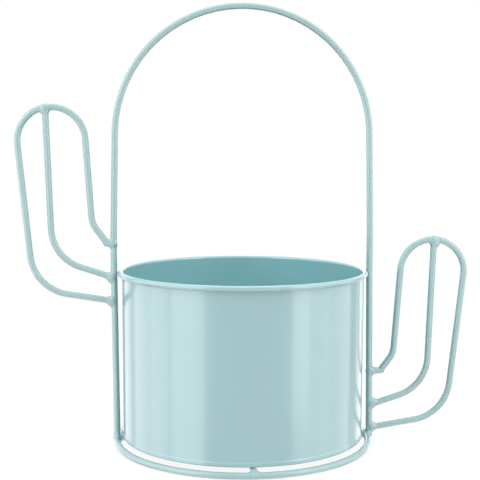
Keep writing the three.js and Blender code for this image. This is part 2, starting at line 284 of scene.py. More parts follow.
@dataclass(frozen=True)
class PowderCoat:
    """A gloss powder coat: faint drift of colour and gloss, orange peel, and a few specks under it.

    The coat is a coloured body under a clear skin. Sizes and depths are in metres, a span says
    between which noise values a change runs, and speck_edge is a share of a speck's cell.
    """

    name: str
    colour: tuple[float, float, float]
    drift: tuple[float, float, float]
    roughness: float
    skin_roughness: float
    body_ior: float = 1.6
    skin_ior: float = 1.75
    drift_size: float = 26 * MM
    drift_span: tuple[float, float] = (0.35, 0.65)
    gloss_size: float = 26 / 3 * MM
    gloss_span: tuple[float, float] = (0.3, 0.7)
    gloss_drift: float = 0.12
    peel_size: float = 1.3 * MM
    peel_depth: float = 0.002 * MM
    speck_size: float = 9 * MM
    speck_edge: float = 0.035
    speck_depth: float = 0.015 * MM

    def material(self) -> Material:
        """Builds the coat's node material, which reads object coordinates.

        Returns:
            The material.
        """
        material = bpy.data.materials.new(self.name)
        graph = emptied(material)
        place = graph.add("ShaderNodeTexCoord").outputs["Object"]
        drift = graph.noise(place, 1 / self.drift_size, 3.0)
        share = graph.between(drift, *self.drift_span, smooth=True)
        colour = graph.add("ShaderNodeMix", {0: share, 6: (*self.colour, 1), 7: (*self.drift, 1)},
                           data_type="RGBA").outputs[2]
        low, high = (self.roughness * (1 + sign * self.gloss_drift) for sign in (-1, 1))
        gloss = graph.noise(place, 1 / self.gloss_size, 4.0)
        peel = graph.noise(place, 1 / self.peel_size, 2.0)
        skin = graph.add("ShaderNodeBump",
                         {"Height": peel, "Strength": 1.0, "Distance": self.peel_depth})
        cells = graph.add("ShaderNodeTexVoronoi", {"Vector": place, "Scale": 1 / self.speck_size})
        near = cells.outputs["Distance"]
        speck = graph.between(near, 0.0, self.speck_edge, 1.0, 0.0, smooth=True)
        relief = graph.add("ShaderNodeBump", {
            "Height": speck, "Strength": 1.0, "Distance": self.speck_depth, "Normal": skin,
        })
        shader = graph.add("ShaderNodeBsdfPrincipled", {
            "Base Color": colour, "Roughness": graph.between(gloss, *self.gloss_span, low, high),
            "Normal": relief, "IOR": self.body_ior, "Coat Weight": 1.0, "Coat Normal": relief,
            "Coat Roughness": self.skin_roughness, "Coat IOR": self.skin_ior,
        })
        graph.add("ShaderNodeOutputMaterial", {"Surface": shader})
        return material


WIRE_COAT = PowderCoat("wire_powder_coat", (0.240, 0.415, 0.424), (0.250, 0.427, 0.436),
                       0.42, 0.26, peel_size=1.6 * MM, peel_depth=0.001 * MM)
SHEET_COAT = PowderCoat("sheet_powder_coat", (0.226, 0.457, 0.483), (0.236, 0.466, 0.492),
                        0.32, 0.16)


# ---------------- drawing


def heading(degrees: float) -> Vector:
    """The (out, up) direction at an angle above level."""
    return Vector((math.cos(math.radians(degrees)), math.sin(math.radians(degrees))))


def on_side(point: Vector, side: Side) -> Vector:
    """An (out, up) point set in space on one side of the stand."""
    return Vector((side.value * point.x, 0, point.y))


def crossing(p: Vector, along_p: Vector, q: Vector, along_q: Vector) -> Vector:
    """The corner where two straight runs meet.

    Args:
        p: a point on the first run.
        along_p: the first run's direction.
        q: a point on the second run.
        along_q: the second run's direction.

    Returns:
        The corner, as an (out, up) point.
    """
    between = q - p
    across = along_p.x * along_q.y - along_p.y * along_q.x
    return p + along_p * ((between.x * along_q.y - between.y * along_q.x) / across)


@dataclass
class Line:
    """A drawn line: a wire's middle, or the outline of a turned sheet.

    The thickening is the share of its full thickness that a wire has at each point.
    """

    points: list[Vector]
    closed: bool = False
    thickening: list[float] = field(default_factory=list)


@dataclass
class Pen:
    """Draws the middle of a bent wire in (out, up) points, in metres. Bend steps are in degrees."""

    points: list[Vector] = field(default_factory=list)
    bend_step: float = 2.5
    spacing: float = 2.0 * MM

    def to(self, point: Vector) -> "Pen":
        """Runs straight to a point, in short steps.

        Args:
            point: where the run ends.

        Returns:
            The pen.
        """
        if self.points:
            start = self.points[-1]
            steps = max(1, math.ceil((point - start).length / self.spacing))
            self.points += [start.lerp(point, i / steps) for i in range(1, steps)]
        self.points.append(point.copy())
        return self

    def arc(self, centre: Vector, radius: float, start: float, end: float) -> "Pen":
        """Bends about a centre.

        Args:
            centre: the middle of the bend.
            radius: its radius, to the middle of the wire.
            start: where it starts, in degrees.
            end: where it ends, in degrees.

        Returns:
            The pen.
        """
        steps = math.ceil(abs(end - start) / self.bend_step)
        self.to(centre + heading(start) * radius)
        for i in range(1, steps + 1):
            self.points.append(centre + heading(start + (end - start) * i / steps) * radius)
        return self

    def knee(self, corner: Vector, after: Vector, radius: float) -> "Pen":
        """Rounds the corner between the run so far and the next one.

        Args:
            corner: where the two runs would meet.
            after: a point that the next run goes through.
            radius: the bend's radius.

        Returns:
            The pen.
        """
        back = (self.points[-1] - corner).normalized()
        on = (after - corner).normalized()
        half = back.angle(on) / 2
        centre = corner + (back + on).normalized() * (radius / math.sin(half))
        first = corner + back * (radius / math.tan(half)) - centre
        last = corner + on * (radius / math.tan(half)) - centre
        start = math.degrees(math.atan2(first.y, first.x))
        end = math.degrees(math.atan2(last.y, last.x))
        turn = (end - start + 180) % 360 - 180
        return self.arc(centre, radius, start, start + turn)

    def in_space(self, side: Side) -> list[Vector]:
        """The drawn points in the plane of the arch, on one side."""
        return [on_side(p, side) for p in self.points]


def straight(start: Vector, end: Vector, spacing: float = 2 * MM) -> list[Vector]:
    """Points along a straight wire, both ends included, at most a spacing apart."""
    steps = max(1, math.ceil((end - start).length / spacing))
    return [start.lerp(end, i / steps) for i in range(steps + 1)]


def circle(radius: float, height: float, steps: int) -> list[Vector]:
    """Points round the vertical axis, the first not repeated."""
    angles = [2 * math.pi * i / steps for i in range(steps)]
    return [Vector((radius * math.cos(a), radius * math.sin(a), height)) for a in angles]


# ---------------- the three ways of making a piece


class WireTree(ShapeTree):
    """Sweeps a round, slightly uneven coated wire along each line.

    The usual radius is a little slimmer than the wire, which makes room for the unevenness.
    """

    def __init__(self) -> None:
        """Builds the tree."""
        super().__init__("coated_wire_along_a_line", {
            "Radius": 0.994 * WIRE, "Sides": 32, "Unevenness": 0.024, "Wave": 14 * MM,
        })
        line = self.add("GeometryNodeMeshToCurve", {0: self.given["Geometry"]})
        place = self.add("GeometryNodeInputPosition")
        swing = self.swing(place, self.given["Wave"])
        uneven = self.calc("MULTIPLY_ADD", swing, self.given["Unevenness"], 1.0)
        swell = self.add("GeometryNodeInputNamedAttribute", {"Name": "swell"}, data_type="FLOAT")
        section = self.add("GeometryNodeCurvePrimitiveCircle",
                           {"Resolution": self.given["Sides"], "Radius": self.given["Radius"]})
        self.finish(self.add("GeometryNodeCurveToMesh", {
            "Curve": line, "Profile Curve": section, "Scale": self.calc("MULTIPLY", uneven, swell),
            "Fill Caps": True,
        }))


# How far in from a cut end each point lies, in radii, and the share of the thickness that it has.
# The wire's own points start beyond the reach, which is also in radii.
CUT_END = [(0.0, 0.72), (0.08, 0.86), (0.2, 0.95), (0.4, 1.0)]
CUT_END_REACH = 0.5


def rounded_ends(line: Line) -> Line:
    """Adds the closely spaced points that round off a cut wire's two ends.

    Args:
        line: the wire's middle.

    Returns:
        The line, with the thickness at each point.
    """
    first, last = line.points[0], line.points[-1]
    on = (line.points[1] - first).normalized()
    back = (line.points[-2] - last).normalized()
    start = [(first + on * WIRE * reach, share) for reach, share in CUT_END]
    end = [(last + back * WIRE * reach, share) for reach, share in reversed(CUT_END)]
    middle = [(p, 1.0) for p in line.points[1:-1]
              if min((p - first).length, (p - last).length) > CUT_END_REACH * WIRE]
    points, shares = zip(*start, *middle, *end)
    return Line([*points], thickening=[*shares])


class WeldTree(ShapeTree):
    """Grows a weld where two wires meet: their skins melt into each other, with a drop of weld.

    Beyond a share of its reach the weld sinks into the wires, so that no edge shows. It is cut off
    flat at its floor, and grown in a box of cells from low to high.
    """

    SINK_FROM = 0.3

    def __init__(self) -> None:
        """Builds the tree."""
        nowhere = Vector((0, 0, 0))
        super().__init__("weld_between_two_wires", {
            "First Radius": WIRE, "Second Radius": WIRE, "Fillet": 3.4 * MM, "Middle": nowhere,
            "Reach": 5.6 * MM, "Sink": 0.45 * MM, "Drop": nowhere, "Drop Radius": 0.95 * MM,
            "Lumps": 0.18 * MM, "Lump Size": 2.4 * MM, "Low": nowhere, "High": nowhere,
            "Cells": 64, "Floor": 0.12 * MM,
        })
        given = self.given
        place = self.add("GeometryNodeInputPosition")
        first = self.calc("SUBTRACT", self.distance_to_line(0), given["First Radius"])
        second = self.calc("SUBTRACT", self.distance_to_line(1), given["Second Radius"])
        drop = self.calc("SUBTRACT", self.distance(place, given["Drop"]), given["Drop Radius"])
        joined = self.calc("SMOOTH_MIN", first, second, given["Fillet"])
        joined = self.calc("SMOOTH_MIN", joined, drop, given["Fillet"])
        lumps = self.calc("MULTIPLY", self.swing(place, given["Lump Size"]), given["Lumps"])
        away = self.distance(place, given["Middle"])
        share = self.calc("DIVIDE", away, given["Reach"])
        sunk = self.between(share, self.SINK_FROM, 1.0, smooth=True)
        sink = self.calc("MULTIPLY", sunk, given["Sink"])
        skin = self.calc("ADD", self.calc("ADD", joined, lumps), sink)
        ball = self.calc("SUBTRACT", away, given["Reach"])
        height = self.add("ShaderNodeSeparateXYZ", {0: place}).outputs[2]
        under = self.calc("SUBTRACT", given["Floor"], height)
        skin = self.calc("MAXIMUM", self.calc("MAXIMUM", skin, ball), under)
        volume = self.add("GeometryNodeVolumeCube", {
            "Density": self.calc("MULTIPLY", skin, -1.0), "Background": -1.0, "Min": given["Low"],
            "Max": given["High"], **{f"Resolution {axis}": given["Cells"] for axis in "XYZ"},
        })
        self.finish(self.add("GeometryNodeVolumeToMesh", {"Volume": volume, "Threshold": 0.0}))

    def distance(self, a: Socket, b: Socket) -> Socket:
        """The distance between two points."""
        node = self.add("ShaderNodeVectorMath", {0: a, 1: b}, operation="DISTANCE")
        return node.outputs["Value"]

    def distance_to_line(self, number: int) -> Socket:
        """The distance from here to one line of the drawing.

        Args:
            number: the line's number.

        Returns:
            The distance.
        """
        mark = self.add("GeometryNodeInputNamedAttribute", {"Name": "line"}, data_type="INT")
        chosen = self.add("FunctionNodeCompare", {2: mark, 3: number}, data_type="INT",
                          operation="EQUAL")
        line = self.add("GeometryNodeSeparateGeometry",
                        {"Geometry": self.given["Geometry"], "Selection": chosen})
        near = self.add("GeometryNodeProximity", {0: line}, target_element="EDGES")
        return near.outputs["Distance"]


@dataclass
class Weld:
    """One weld: the stretches of two wires that it joins, and how it flows between them."""

    node: str
    first: list[Vector]
    second: list[Vector]
    middle: Vector
    fillet: float = 3.4 * MM
    reach: float = 5.6 * MM
    drop: Vector | None = None
    second_radius: float = WIRE
    drop_radius: float = 0.95 * MM
    margin: float = 0.3 * MM

    def values(self) -> dict[str, Setting]:
        """The weld's values for the tree's inputs."""
        half = Vector((1, 1, 1)) * (self.reach + self.margin)
        return {
            "Second Radius": self.second_radius, "Fillet": self.fillet, "Middle": self.middle,
            "Reach": self.reach, "Low": self.middle - half, "High": self.middle + half,
            "Drop": self.drop or self.middle, "Drop Radius": self.drop_radius if self.drop else 0.0,
        }


class TurnedTree(ShapeTree):
    """Turns a closed outline about the vertical axis into a slightly uneven sheet-metal shell.

    Its unevenness fades out towards the axis. The wave is how fast it changes round the axis, on a
    circle of radius 1, and for each metre up.
    """

    FADES_WITHIN = 50 * MM
    SAME_POINT = 1e-7

    def __init__(self) -> None:
        """Builds the tree."""
        super().__init__("turned_sheet", {
            "Rows": 2, "Columns": 257, "Unevenness": 0.0, "Wave": Vector((3.0, 3.0, 22.0)),
        })
        given = self.given
        grid = self.add("GeometryNodeMeshGrid",
                        {"Vertices X": given["Rows"], "Vertices Y": given["Columns"]})
        index = self.add("GeometryNodeInputIndex")
        row = self.calc("DIVIDE", self.calc("ADD", index, 0.5), given["Columns"])
        row = self.calc("FLOOR", row)
        column = self.calc("SUBTRACT", index, self.calc("MULTIPLY", row, given["Columns"]))
        last = self.calc("SUBTRACT", given["Columns"], 1.0)
        angle = self.calc("DIVIDE", self.calc("MULTIPLY", column, 2 * math.pi), last)
        place = self.add("GeometryNodeInputPosition")
        outline = self.add("GeometryNodeSampleIndex",
                           {"Geometry": given["Geometry"], 1: place, "Index": row},
                           data_type="FLOAT_VECTOR", domain="POINT")
        out, _, up = self.add("ShaderNodeSeparateXYZ", {0: outline}).outputs
        east, north = self.calc("COSINE", angle), self.calc("SINE", angle)
        plain = self.add("ShaderNodeCombineXYZ", {0: east, 1: north, 2: up})
        waves = self.add("ShaderNodeVectorMath", {0: plain, 1: given["Wave"]}, operation="MULTIPLY")
        uneven = self.calc("MULTIPLY", self.swing(waves, 1.0), given["Unevenness"])
        share = self.between(out, 0.0, self.FADES_WITHIN)
        radius = self.calc("MULTIPLY_ADD", uneven, share, out)
        bent = self.add("ShaderNodeCombineXYZ", {
            0: self.calc("MULTIPLY", radius, east), 1: self.calc("MULTIPLY", radius, north), 2: up,
        })
        turned = self.add("GeometryNodeSetPosition", {"Geometry": grid, "Position": bent})
        self.finish(self.add("GeometryNodeMergeByDistance",
                             {"Geometry": turned, "Distance": self.SAME_POINT}))


# ---------------- sub-assemblies


@dataclass
class Workshop:
    """The trees and finishes that every sub-assembly is made with."""

    wires: WireTree = field(default_factory=WireTree)
    welds: WeldTree = field(default_factory=WeldTree)
    turning: TurnedTree = field(default_factory=TurnedTree)
    wire_coat: Material = field(default_factory=WIRE_COAT.material)
    sheet_coat: Material = field(default_factory=SHEET_COAT.material)

    def mount(self, piece: Piece, body: Body, nodes: Iterable[str] = ()) -> None:
        """Hands a finished piece to the frame.

        Args:
            piece: the piece, in place.
            body: the body that it rides on.
            nodes: the CAD nodes that it stands for.
        """
        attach(piece, body.value)
        if nodes:
            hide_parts(*nodes)
        LOG.info("%s: %d faces, on %s", piece.name, len(piece.data.polygons), body.value)

    def add_wire(self, node: str, line: Line) -> None:
        """Makes the coated wire that stands for a CAD node.

        Args:
            node: the CAD node.
            line: the wire's middle.
        """
        line = line if line.closed else rounded_ends(line)
        piece = self.wires.shape(f"{node}_coated", [line], {}, self.wire_coat)
        self.mount(piece, Body.FRAME, [node])

    def add_weld(self, weld: Weld) -> None:
        """Makes the weld that stands for a CAD node.

        Args:
            weld: the weld.
        """
        lines = [Line(weld.first), Line(weld.second)]
        piece = self.welds.shape(f"{weld.node}_coated", lines, weld.values(), self.wire_coat)
        self.mount(piece, Body.FRAME, [weld.node])

    def add_sheet(self, node: str, outline: list[Vector], unevenness: float = 0.0) -> None:
        """Makes the turned sheet that stands for a CAD node.

        Args:
            node: the CAD node.
            outline: its closed outline in (radius, height) points, with the metal on its right.
            unevenness: how far the sheet strays from a true round.
        """
        points = [Vector((p.x, 0, p.y)) for p in [*outline, outline[0]]]
        values = {"Rows": len(points), "Unevenness": unevenness}
        piece = self.turning.shape(f"{node}_coated", [Line(points)], values, self.sheet_coat)
        self.mount(piece, Body.POT, [node])


@dataclass
class Base:
    """The ring that everything stands on, and the crossed wires that carry the pot.

    The through wire's ends are shifted to the right by a little, and every end stops inside the
    ring by its inset. The ring's butt joint is at an angle and has a width in degrees.
    """

    ring: float = 60.8 * MM
    cross_height: float = 2.55 * MM
    front_shift: float = 0.7 * MM
    back_shift: float = -0.21 * MM
    end_inset: float = 0.64 * MM
    middle_gap: float = 1.9 * MM
    joint_angle: float = 104.0
    joint_width: float = 1.6
    joint_swell: float = 0.1
    ring_points: int = 240
    weld_ring_points: int = 360
    weld_run: float = 12 * MM
    weld_shift: float = 1.7 * MM

    def ring_line(self) -> Line:
        """The ring's middle, thickened where its two ends are butt welded at the back.

        Returns:
            The closed line.
        """
        points = circle(self.ring, WIRE, self.ring_points)
        angles = [abs(math.degrees(math.atan2(p.y, p.x)) - self.joint_angle) for p in points]
        swells = [1 + self.joint_swell * math.exp(-((a / self.joint_width) ** 2)) for a in angles]
        for point, swell in zip(points, swells, strict=True):
            point.z *= swell
        return Line(points, closed=True, thickening=swells)

    def ring_piece(self, middle: Vector, reach: float = 14 * MM) -> list[Vector]:
        """The stretch of the ring round a point, for a weld.

        Args:
            middle: the point.
            reach: how far the stretch goes from it.

        Returns:
            The stretch's points, in order.
        """
        points = circle(self.ring, WIRE, self.weld_ring_points)
        near = [p for p in points if (p - middle).length < reach]
        centre = math.atan2(middle.y, middle.x)
        return sorted(near, key=lambda p: (math.atan2(p.y, p.x) - centre + math.pi) % (2 * math.pi))

    def cross(self, x: float, y: float) -> Vector:
        """A point on the crossed wires."""
        return Vector((x, y, self.cross_height))

    def build(self, shop: Workshop) -> None:
        """Makes the ring, the crossed wires and their welds.

        Args:
            shop: the trees and finishes.
        """
        shop.add_wire("base_ring", self.ring_line())
        inner, gap = self.ring - self.end_inset, self.middle_gap / 2
        share = inner / self.ring
        front, back = self.front_shift * share, self.back_shift * share
        for wire, start, end in (
            ("through", self.cross(front, -inner), self.cross(back, inner)),
            ("left", self.cross(-inner, 0), self.cross(-gap, 0)),
            ("right", self.cross(gap, 0), self.cross(inner, 0)),
        ):
            shop.add_wire(f"cross_wire_{wire}", Line(straight(start, end)))
        middle = self.cross(0, 0)
        for place, x, y in (
            ("front", self.front_shift, -self.ring), ("back", self.back_shift, self.ring),
            ("left", -self.ring, 0), ("right", self.ring, 0),
        ):
            end = self.cross(x, y)
            inward = (middle - end).normalized()
            shop.add_weld(Weld(f"cross_weld_{place}", self.ring_piece(end),
                               [end + inward * WIRE, end + inward * self.weld_run],
                               end + inward * self.weld_shift, fillet=3.0 * MM, reach=5.2 * MM))
        through = [self.cross(0, -self.weld_run), self.cross(0, self.weld_run)]
        for side in Side:
            out = Vector((side.value, 0, 0))
            shop.add_weld(Weld(f"cross_weld_middle_{side.word}", through,
                               [middle + out * WIRE, middle + out * self.weld_run],
                               middle + out * self.weld_shift, fillet=2.6 * MM, reach=4.8 * MM))


@dataclass
class Arch:
    """The tall arch: two legs and a half circle, bent from one wire.

    Below the rim's height, both legs lean to the right. Their shift is full at shift_height.
    """

    leg: float = 61.75 * MM
    radius: float = 60.8 * MM
    centre: float = 148.5 * MM
    rim: float = 84.45 * MM
    lean_start: float = 17 * MM
    foot_shift: float = 0.9 * MM
    shift_height: float = 3.5 * MM
    foot: float = 2.0 * MM
    weld_rise: float = 1.2 * MM

    def out(self, height: float, side: Side) -> float:
        """How far out the middle of a leg is at a height.

        Args:
            height: above the floor.
            side: which leg.

        Returns:
            The distance from the axis.
        """
        down = max(self.rim - height, 0) / (self.rim - self.shift_height)
        return self.leg + side.value * self.foot_shift * down

    def half(self, side: Side) -> list[Vector]:
        """Draws one leg and its half of the curve.

        Args:
            side: which half.

        Returns:
            The points from the foot to the top.
        """
        bend = Vector((self.leg, self.rim + self.lean_start))
        run = bend - Vector((0, self.centre))
        tangent = math.degrees(math.atan2(run.y, run.x) + math.acos(self.radius / run.length))
        pen = Pen().to(Vector((self.out(self.foot, side), self.foot)))
        pen.to(Vector((self.leg, self.rim))).to(bend)
        return pen.arc(Vector((0, self.centre)), self.radius, tangent, 90).in_space(side)

    def leg_piece(self, height: float, side: Side, reach: float = 12 * MM) -> list[Vector]:
        """The stretch of a leg round a height, for a weld."""
        low, high = max(height - reach, self.foot), height + reach
        return [on_side(Vector((self.out(z, side), z)), side) for z in (low, high)]

    def build(self, shop: Workshop, base: Base) -> None:
        """Makes the arch and the welds at its feet.

        Args:
            shop: the trees and finishes.
            base: the ring that the legs stand on.
        """
        shop.add_wire("arch_hoop", Line(self.half(Side.RIGHT) + self.half(Side.LEFT)[-2::-1]))
        for side in Side:
            foot = on_side(Vector((self.out(self.foot, side), self.foot)), side)
            middle = foot + Vector((0, 0, self.weld_rise))
            shop.add_weld(Weld(f"arch_weld_{side.word}", base.ring_piece(foot),
                               self.leg_piece(self.foot, side), middle))


@dataclass
class Arm:
    """One bent arm: its outer loop, the rib up its middle and their four welds.

    Leans are in degrees from upright, slopes in degrees from level. The drops of weld, the bridge
    and the shifts of the welds are (out, up) steps from where the wires meet.
    """

    arch: Arch
    side: Side
    foot: float
    height: float
    reach: float
    end_rise: float
    end_reach: float
    rib_shift: float
    foot_slope: float = 9.2
    knee: float = 20.7 * MM
    outer_lean: float = 6.2
    crown: float = 15.9 * MM
    inner_lean: float = 3.6
    end_knee: float = 11 * MM
    end_slope: float = 53.0
    rib_rise: float = 11.3 * MM
    rib_slope: float = 18.3
    rib_knee: float = 20 * MM
    rib_lean: float = 2.0
    foot_drop: tuple[float, float] = (1.7 * MM, -1.2 * MM)
    rib_drop: tuple[float, float] = (1.7 * MM, -1.2 * MM)
    crown_drop: tuple[float, float] | None = None
    start_weld_shift: float = 1.8 * MM
    crown_weld_shift: float = -1.8 * MM
    end_weld_shift: float = 0.4 * MM
    end_root: float = -0.7 * MM
    bridge: tuple[float, float] = (0.3 * MM, -0.4 * MM)

    @property
    def name(self) -> str:
        """The arm's name in the CAD."""
        return f"{self.side.word}_arm"

    def on_leg(self, height: float) -> Vector:
        """The (out, up) point of the leg's middle at a height."""
        return Vector((self.arch.out(height, self.side), height))

    def crown_centre(self) -> Vector:
        """The middle of the half circle at the top."""
        out, up = self.arch.leg + self.reach, self.foot + self.height
        return Vector((out - self.crown, up - self.crown))

    def loop_end(self) -> Vector:
        """Where the loop's inner run is cut off, beside the leg."""
        return self.on_leg(self.foot + self.end_rise) + Vector((self.end_reach, 0))

    def loop(self) -> Pen:
        """Draws the loop: out from the leg, up, round the crown, down and back.

        Returns:
            The pen with the loop's points.
        """
        crown, start, end = self.crown_centre(), self.on_leg(self.foot), self.loop_end()
        outward, inward = -self.outer_lean, 180 - self.inner_lean
        outer_top, inner_top = (crown + heading(turn) * self.crown for turn in (outward, inward))
        outer_knee = crossing(start, heading(self.foot_slope), outer_top, heading(outward + 90))
        inner_knee = crossing(end, heading(self.end_slope), inner_top, heading(inward - 90))
        pen = Pen().to(start).knee(outer_knee, outer_top, self.knee)
        pen.arc(crown, self.crown, outward, inward)
        return pen.knee(inner_knee, end, self.end_knee).to(end)

    def rib(self) -> Pen:
        """Draws the rib, from the leg up into the crown.

        Returns:
            The pen with the rib's points.
        """
        inside = math.sqrt(self.crown ** 2 - self.rib_shift ** 2)
        top = self.crown_centre() + Vector((self.rib_shift, inside))
        start = self.on_leg(self.foot + self.rib_rise)
        corner = crossing(start, heading(self.rib_slope), top, heading(90 - self.rib_lean))
        return Pen().to(start).knee(corner, top, self.rib_knee).to(top)

    def space(self, point: Vector) -> Vector:
        """An (out, up) point set in space on this arm's side."""
        return on_side(point, self.side)

    def welds(self, loop: list[Vector], rib: list[Vector]) -> list[Weld]:
        """The arm's four welds, each of which sees only the stretches of wire near it.

        Args:
            loop: the loop's middle.
            rib: the rib's middle.

        Returns:
            The welds, ready to be grown.
        """
        welds = [
            Weld(f"{self.name}_weld_{kind}", self.arch.leg_piece(start.y, self.side), wire[1:8],
                 self.space(start + heading(slope) * self.start_weld_shift),
                 drop=self.space(start + Vector(drop)))
            for kind, start, slope, wire, drop in (
                ("foot", self.on_leg(self.foot), self.foot_slope, loop, self.foot_drop),
                ("rib", self.on_leg(self.foot + self.rib_rise), self.rib_slope, rib, self.rib_drop),
            )
        ]
        end = self.loop_end()
        root = self.on_leg(end.y + self.end_root)
        bridge = [self.space(root), self.space(end + Vector(self.bridge)), *reversed(loop[-4:-1])]
        welds.append(Weld(
            f"{self.name}_weld_end", self.arch.leg_piece(end.y, self.side), bridge,
            self.space((root + end) / 2 + Vector((self.end_weld_shift, 0))), fillet=2.8 * MM,
            reach=4.2 * MM + self.end_reach / 2, second_radius=1.62 * MM,
        ))
        top = rib[-1]
        welds.append(Weld(
            f"{self.name}_weld_crown", loop[20:-12], rib[-8:],
            top + Vector((0, 0, self.crown_weld_shift)), fillet=3.2 * MM, reach=5.2 * MM,
            drop=top + self.space(Vector(self.crown_drop)) if self.crown_drop else None,
            drop_radius=0.9 * MM,
        ))
        return welds

    def build(self, shop: Workshop) -> None:
        """Makes the arm.

        Args:
            shop: the trees and finishes.
        """
        loop, rib = self.loop().in_space(self.side), self.rib().in_space(self.side)
        shop.add_wire(f"{self.name}_loop", Line(loop))
        shop.add_wire(f"{self.name}_rib", Line(rib))
        for weld in self.welds(loop, rib):
            shop.add_weld(weld)


# The seam's section: how far across it, in widths, and how far out of the wall, in heights.
SEAM_SECTION = ((-0.5, -1.0), (-0.5, 0.0), (-0.42, 0.75), (-0.33, 1.0), (0.0, 1.0), (0.33, 1.0),
                (0.42, 0.75), (0.5, 0.0), (0.5, -1.0))


@dataclass
class Pot:
    """The sheet-metal pot: a wall with a rolled rim and a hem, and a base seamed into it.

    Angles are in degrees. The rim's roll ends in a cut edge, rounded by one point beyond its end.
    """

    bottom: float = 4.45 * MM
    top: float = 84.45 * MM
    sheet: float = 0.6 * MM
    roll_radius: float = 1.25 * MM
    roll_out: float = 58.75 * MM
    roll_end: float = -117.0
    roll_edge: float = -123.0
    wall_foot: float = 57.85 * MM
    wall_unevenness: float = 0.16 * MM
    hem: float = 58.1 * MM
    hem_height: float = 2.2 * MM
    hem_slope: float = 0.4 * MM
    lip: float = 2.4 * MM
    base: float = 56.95 * MM
    base_foot: float = 5.35 * MM
    base_top: float = 7.55 * MM
    step: float = 47 * MM
    step_run: float = 1.2 * MM
    step_rise: float = 0.5 * MM
    seam_angle: float = 160.0
    seam_width: float = 4.2 * MM
    seam_height: float = 0.13 * MM
    seam_sink: float = 0.25 * MM
    seam_foot: float = 0.1 * MM
    seam_head: float = 2.3 * MM
    seam_rows: int = 41

    def rolled(self, radius: float, start: float, end: float, steps: int = 30) -> list[Vector]:
        """Points round the rolled rim.

        Args:
            radius: from the middle of the roll.
            start: where they start, in degrees.
            end: where they end, in degrees.
            steps: how many steps.

        Returns:
            The (radius, height) points.
        """
        centre = Vector((self.roll_out, self.top - self.roll_radius))
        turns = [start + (end - start) * i / steps for i in range(steps + 1)]
        return [centre + heading(turn) * radius for turn in turns]

    def wall_outline(self) -> list[Vector]:
        """Draws the wall: round the roll, down the outside to the hem, and back up inside.

        Returns:
            The closed outline's (radius, height) points.
        """
        thin = self.roll_radius - self.sheet
        shoulder, floor = self.bottom + self.hem_height, self.bottom + self.sheet
        lip = self.hem - self.lip
        outer = self.rolled(self.roll_radius, 180, self.roll_end)
        edge = self.rolled(thin + self.sheet / 2, self.roll_edge, self.roll_edge, 1)[:1]
        inner = self.rolled(thin, self.roll_end, 180)
        corners = [
            (self.wall_foot, shoulder, 0.12 * MM),
            (self.hem, shoulder - self.hem_slope, 0.12 * MM),
            (self.hem, self.bottom, 0.45 * MM), (lip, self.bottom, 0.2 * MM),
            (lip, floor, 0.2 * MM), (self.wall_foot - self.sheet, floor, 0.5 * MM),
        ]
        return outer + edge + inner + rounded_outline(inner[-1], corners, outer[0])

    def base_outline(self) -> list[Vector]:
        """Draws the base: a disc with a pressed step and a turned-down edge.

        Returns:
            The closed outline's (radius, height) points.
        """
        under, inner = self.base_top - self.sheet, self.base - self.sheet
        low, soft = self.step - self.step_run, 0.35 * MM
        corners = [
            (low, under - self.step_rise, soft), (self.step, under, soft), (inner, under, soft),
            (inner, self.base_foot, 0.15 * MM), (self.base, self.base_foot, 0.15 * MM),
            (self.base, self.base_top, 0.9 * MM), (self.step, self.base_top, soft),
            (low, self.base_top - self.step_rise, soft),
        ]
        first = Vector((0, under - self.step_rise))
        last = Vector((0, self.base_top - self.step_rise))
        return [first, *rounded_outline(first, corners, last), last]

    def seam(self, material: Material) -> Piece:
        """The flat lap seam up the outside of the wall, just behind the left leg.

        Args:
            material: its finish.

        Returns:
            The piece.
        """
        low, high = self.bottom + self.hem_height + self.seam_foot, self.top - self.seam_head
        flare = self.roll_out - self.roll_radius + self.sheet - self.wall_foot
        points = []
        for row in range(self.seam_rows):
            z = low + (high - low) * row / (self.seam_rows - 1)
            wall = self.wall_foot + flare * (z - self.bottom) / (self.top - self.bottom)
            height = 0.0 if row in (0, self.seam_rows - 1) else self.seam_height
            for across, lift in SEAM_SECTION:
                out = wall + (height * lift if lift >= 0 else -self.seam_sink)
                turn = math.radians(self.seam_angle) + across * self.seam_width / wall
                points.append((out * math.cos(turn), out * math.sin(turn), z))
        n = len(SEAM_SECTION)
        faces = [(r + c, r + (c + 1) % n, r + n + (c + 1) % n, r + n + c)
                 for r in range(0, len(points) - n, n) for c in range(n)]
        faces += [tuple(reversed(range(n))), tuple(range(len(points) - n, len(points)))]
        mesh = bpy.data.meshes.new("pot_seam")
        mesh.from_pydata(points, [], faces)
        mesh.polygons.foreach_set("use_smooth", [True] * len(mesh.polygons))
        mesh.materials.append(material)
        return new_object("pot_seam", mesh)

    def build(self, shop: Workshop) -> None:
        """Makes the pot.

        Args:
            shop: the trees and finishes.
        """
        shop.add_sheet("pot_wall", self.wall_outline(), self.wall_unevenness)
        shop.add_sheet("pot_base", self.base_outline())
        shop.mount(self.seam(shop.sheet_coat), Body.POT)


CORNER_STEPS = 6
LARGEST_CUT = 0.45  # the most of a run that a corner's rounding takes up
SHORT_RUN = 1.0 * MM  # a shorter run gets no points
CLOSE_POINT = 0.12 * MM  # how close to a run's ends its first and last points are


